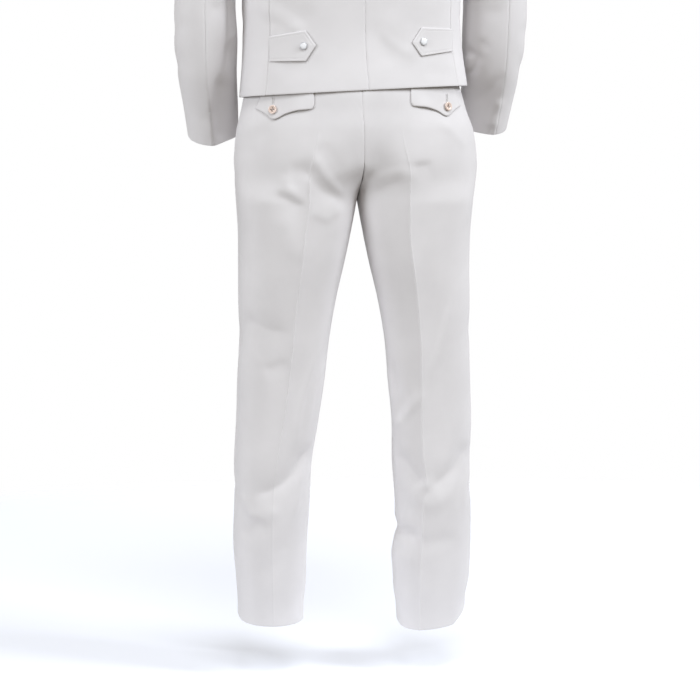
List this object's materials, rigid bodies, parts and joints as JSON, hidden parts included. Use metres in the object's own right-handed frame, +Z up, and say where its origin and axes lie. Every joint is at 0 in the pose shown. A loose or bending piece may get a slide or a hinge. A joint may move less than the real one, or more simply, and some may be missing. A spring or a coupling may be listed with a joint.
{
  "type": "western suit",
  "caption": "Waist-length western jacket with side tabs over straight pressed trousers with shaped pocket flaps, worn and hollow.",
  "frame": {"origin": "middle of the trouser waist, where the wearer holds the suit up", "axes": "+Z up, -Y towards the front of the suit, +X towards the wearer's left"},
  "size_m": [0.6321, 0.2657, 1.5691],
  "materials": {
    "cloth": "fine smooth twill, pressed",
    "pearl": "pearl with a bright rim",
    "button": "soft shine"
  },
  "bodies": {
    "root": {"jacket_back_left": "cloth", "jacket_side_left": "cloth", "jacket_front_left": "cloth", "tab_left": "cloth", "lapel_left": "cloth", "sleeve_top_left": "cloth", "sleeve_under_left": "cloth", "trouser_back_left": "cloth", "trouser_front_left": "cloth", "pocket_flap_left": "cloth", "tab_snap_left": "pearl", "flap_button_left": "button", "jacket_back_right": "cloth", "jacket_side_right": "cloth", "jacket_front_right": "cloth", "tab_right": "cloth", "lapel_right": "cloth", "sleeve_top_right": "cloth", "sleeve_under_right": "cloth", "trouser_back_right": "cloth", "trouser_front_right": "cloth", "pocket_flap_right": "cloth", "tab_snap_right": "pearl", "flap_button_right": "button", "collar": "cloth", "waistband": "cloth", "fly_strip": "cloth", "front_snap_1": "pearl", "front_snap_2": "pearl", "waist_button": "button"}
  },
  "joints": []
}
